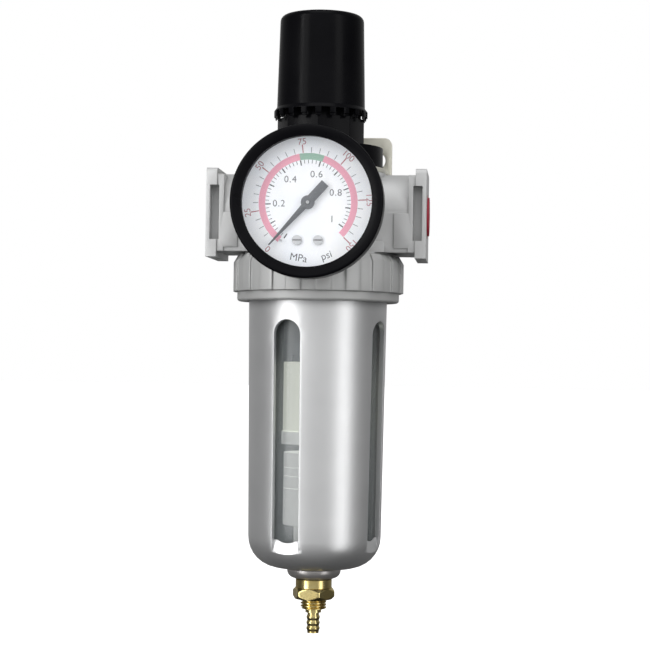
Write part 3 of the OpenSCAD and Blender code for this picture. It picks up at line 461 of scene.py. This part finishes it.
# ---------------------------------------------------------------- threads

def hexagon(flats, turn):
    """Radius of a hexagonal prism against angle, by its width across flats."""
    def radius(a):
        local = (a - math.radians(turn)) % math.radians(60) - math.radians(30)
        return flats / 2 * MM / math.cos(local)
    return radius


def thread_radius(major, minor, pitch, z, runout=1.0):
    """Radius of a sharp screw thread against angle at height z."""
    def radius(a):
        phase = (z / (pitch * MM) - a / (2 * math.pi)) % 1.0
        ridge = min(1.0, max(0.0, 1.5 - 3.4 * abs(phase - 0.5)))
        return (minor + (major - minor) * ridge * runout) * MM
    return radius


def build_drain_body():
    """The brass drain: collar, chamfered hexagon and threaded end with its bore."""
    low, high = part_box("drain_body")
    top, bottom = high.z, low.z
    floor_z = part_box("guard")[0].z
    head_top, hex_top = floor_z - 3.55 * MM, floor_z - 6.4 * MM
    hex_bottom = floor_z - 9.85 * MM
    flats, hex_turn, head_r, upper_r = 11.8, -10.5, 5.6, 4.0
    bore_r, mouth_r, mouth_top = 2.06 * MM, 2.5 * MM, floor_z - 10.8 * MM
    corner = flats / math.sqrt(3)
    bm = bmesh.new()
    rows = [(top, bore_r), (top, (upper_r - 0.3) * MM), (top - 0.3 * MM, upper_r * MM)]
    rows += [(head_top, upper_r * MM), (head_top, (head_r - 0.3) * MM)]
    rows += [(head_top - 0.3 * MM, head_r * MM)]
    rows += [(hex_top + 0.12 * MM, head_r * MM), (hex_top, (head_r - 0.1) * MM)]
    prism = hexagon(flats, hex_turn)
    steps = 16
    for k in range(steps + 1):
        z = hex_top + (hex_bottom - hex_top) * k / steps
        edge = min(hex_top - z, z - hex_bottom) / MM
        cone = (flats / 2 - 0.15 + edge * 0.95) * MM
        rows.append((z, lambda a, cone=cone: min(prism(a), cone, (corner - 0.12) * MM)))
    rows.append((hex_bottom, 3.3 * MM))
    turns = 60
    for k in range(turns + 1):
        z = hex_bottom + (bottom + 0.25 * MM - hex_bottom) * k / turns
        runout = min(1.0, k / 6)
        rows.append((z, thread_radius(4.0, 3.4, 0.9, z, runout)))
    rows += [(bottom, 3.2 * MM), (bottom, 2.6 * MM), (bottom + 0.1 * MM, mouth_r)]
    rows += [(mouth_top, mouth_r), (mouth_top, bore_r)]
    polar_rows(bm, rows, 144)
    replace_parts(piece("drain_fitting", bm, MATERIALS["brass"], "bowl_unit", 32), "drain_body")


def build_port_thread(name, mouth, direction):
    """Screw thread inside a port: ridges that stand a little way in from the bore's wall."""
    bm = bmesh.new()
    length, wall, crest, pitch = 9.6 * MM, 5.76, 5.46, 1.34
    back_r = 5.9 * MM
    segments, steps = 120, 72
    rings = []
    for k in range(steps + 1):
        depth = length * k / steps
        runout = min(1.0, k / 5, (steps - k) / 5)
        radius = thread_radius(wall, crest, pitch, depth)
        ring = []
        for j in range(segments):
            a = 2 * math.pi * j / segments
            r = wall * MM - (wall * MM - radius(a)) * runout
            ring.append(bm.verts.new((mouth - direction * depth, r * math.cos(a), r * math.sin(a))))
        rings.append(ring)
    outer = []
    for x in (mouth - direction * length, mouth):
        outer.append([
            bm.verts.new((x, back_r * math.cos(2 * math.pi * j / segments),
                          back_r * math.sin(2 * math.pi * j / segments)))
            for j in range(segments)
        ])
    rings += outer
    for low, high in zip(rings, rings[1:] + rings[:1]):
        for j in range(segments):
            n = (j + 1) % segments
            bm.faces.new((low[j], low[n], high[n], high[j]))
    piece(name, bm, MATERIALS["casting"], "housing", 40)


PORT_INSET = 0.05 * MM

build_drain_body()
build_port_thread("inlet_thread", PORT_INSET, -1)
build_port_thread("outlet_thread", 2 * AXIS_X - PORT_INSET, 1)


# ---------------------------------------------------------------- floor, light and camera

FLOOR_DROP = 0.115


def build_floor():
    mat, tree, shader = material("pale_floor", (0.9, 0.9, 0.9), 0, 0.7,
                                 Emission_Color=(1, 1, 1, 1), Emission_Strength=1.0)
    speck = noise(tree, object_coords(tree), 3, 2.0)
    tint(tree, shader, speck, (0.89, 0.89, 0.89), (0.91, 0.91, 0.91))
    bm = bmesh.new()
    bmesh.ops.create_circle(bm, cap_ends=True, segments=96, radius=12.0)
    mesh = bpy.data.meshes.new("floor")
    bm.to_mesh(mesh)
    bm.free()
    mesh.materials.append(mat)
    floor = bpy.data.objects.new("floor", mesh)
    floor.location = (AXIS_X, 0, cad_low.z - FLOOR_DROP)
    floor.visible_glossy = False
    floor.visible_diffuse = False
    bpy.context.scene.collection.objects.link(floor)


def softbox(name, azimuth, distance, height, size, radiance):
    """A soft rectangle of light; azimuth 0 is in front of the gauge and 90 to its right."""
    a = math.radians(azimuth)
    place = Vector((AXIS_X + distance * math.sin(a), -distance * math.cos(a), height))
    data = bpy.data.lights.new(name, "AREA")
    data.shape = "RECTANGLE"
    data.size, data.size_y = size
    data.energy = radiance * math.pi * size[0] * size[1]
    light = bpy.data.objects.new(name, data)
    light.location = place
    light.rotation_mode = "QUATERNION"
    light.rotation_quaternion = (Vector((AXIS_X, 0, -0.03)) - place).to_track_quat("-Z", "Y")
    bpy.context.scene.collection.objects.link(light)


def ramp(tree, value, stops):
    node = node_of(tree, "ShaderNodeValToRGB")
    elements = node.color_ramp.elements
    while len(elements) < len(stops):
        elements.new(0.5)
    for element, (place, level) in zip(elements, stops):
        element.position = place
        element.color = (level, level, level, 1)
    tree.links.new(value, node.inputs["Fac"])
    return node.outputs["Color"]


def studio_world():
    """White behind the object; what lights it is bright in front, dark at the sides and dark underfoot."""
    world = bpy.data.worlds.new("studio")
    world.use_nodes = True
    tree = world.node_tree
    background = tree.nodes["Background"]
    coords = node_of(tree, "ShaderNodeTexCoord")
    split = node_of(tree, "ShaderNodeSeparateXYZ")
    tree.links.new(coords.outputs["Generated"], split.inputs["Vector"])
    depth = remap(tree, split.outputs["Y"], 0, 1, -1, 1)
    height = remap(tree, split.outputs["Z"], 0, 1, -1, 1)
    round_about = ramp(tree, depth, (
        (0.0, 0.95), (0.12, 0.85), (0.30, 0.35), (0.5, 0.14), (0.75, 0.3), (1.0, 0.5),
    ))
    upright = ramp(tree, height, ((0.0, 0.10), (0.38, 0.25), (0.5, 0.9), (0.8, 1.0), (1.0, 0.6)))
    both = node_of(tree, "ShaderNodeMix", data_type="RGBA", blend_type="MULTIPLY")
    both.inputs[0].default_value = 1
    tree.links.new(round_about, both.inputs[6])
    tree.links.new(upright, both.inputs[7])
    ray = node_of(tree, "ShaderNodeLightPath")
    seen = node_of(tree, "ShaderNodeMix", data_type="RGBA")
    seen.inputs[7].default_value = (1, 1, 1, 1)
    tree.links.new(ray.outputs["Is Camera Ray"], seen.inputs[0])
    tree.links.new(both.outputs[2], seen.inputs[6])
    tree.links.new(seen.outputs[2], background.inputs["Color"])
    background.inputs["Strength"].default_value = 1.0
    bpy.context.scene.world = world


def build_lights():
    studio_world()
    softbox("soft_left", -42, 0.9, 0.0, (0.34, 1.3), 2.5)
    softbox("soft_right", 52, 0.9, 0.0, (0.30, 1.3), 2.3)
    softbox("strip_left", -50, 0.85, 0.1, (0.05, 1.0), 9)
    softbox("overhead", 0, 0.25, 1.0, (0.7, 0.7), 1.6)


CAMERA_DISTANCE = 0.55
CAMERA_HEIGHT = -0.044
CAMERA_TURN = math.radians(5.2)
CAMERA_AIM = math.radians(0.236)
CAMERA_PITCH = math.radians(1.066)
CAMERA_ROLL = math.radians(0.88)
LENS = 98.25


def build_camera():
    turn = CAMERA_TURN - CAMERA_AIM
    place = Vector((
        AXIS_X + CAMERA_DISTANCE * math.sin(CAMERA_TURN),
        -CAMERA_DISTANCE * math.cos(CAMERA_TURN),
        CAMERA_HEIGHT,
    ))
    ahead = Vector((
        -math.sin(turn) * math.cos(CAMERA_PITCH),
        math.cos(turn) * math.cos(CAMERA_PITCH),
        math.sin(CAMERA_PITCH),
    ))
    side = Vector((math.cos(turn), math.sin(turn), 0))
    upward = side.cross(ahead)
    right = side * math.cos(CAMERA_ROLL) + upward * math.sin(CAMERA_ROLL)
    up = upward * math.cos(CAMERA_ROLL) - side * math.sin(CAMERA_ROLL)
    data = bpy.data.cameras.new("camera")
    data.lens = LENS
    data.sensor_width = 36
    data.clip_start = 0.01
    data.clip_end = 50
    camera = bpy.data.objects.new("camera", data)
    rows = Matrix((right, up, -ahead)).transposed()
    camera.matrix_world = Matrix.Translation(place) @ rows.to_4x4()
    bpy.context.scene.collection.objects.link(camera)
    bpy.context.scene.camera = camera


build_floor()
build_lights()
build_camera()
bpy.context.scene.view_settings.view_transform = "Standard"

bpy.context.view_layer.update()
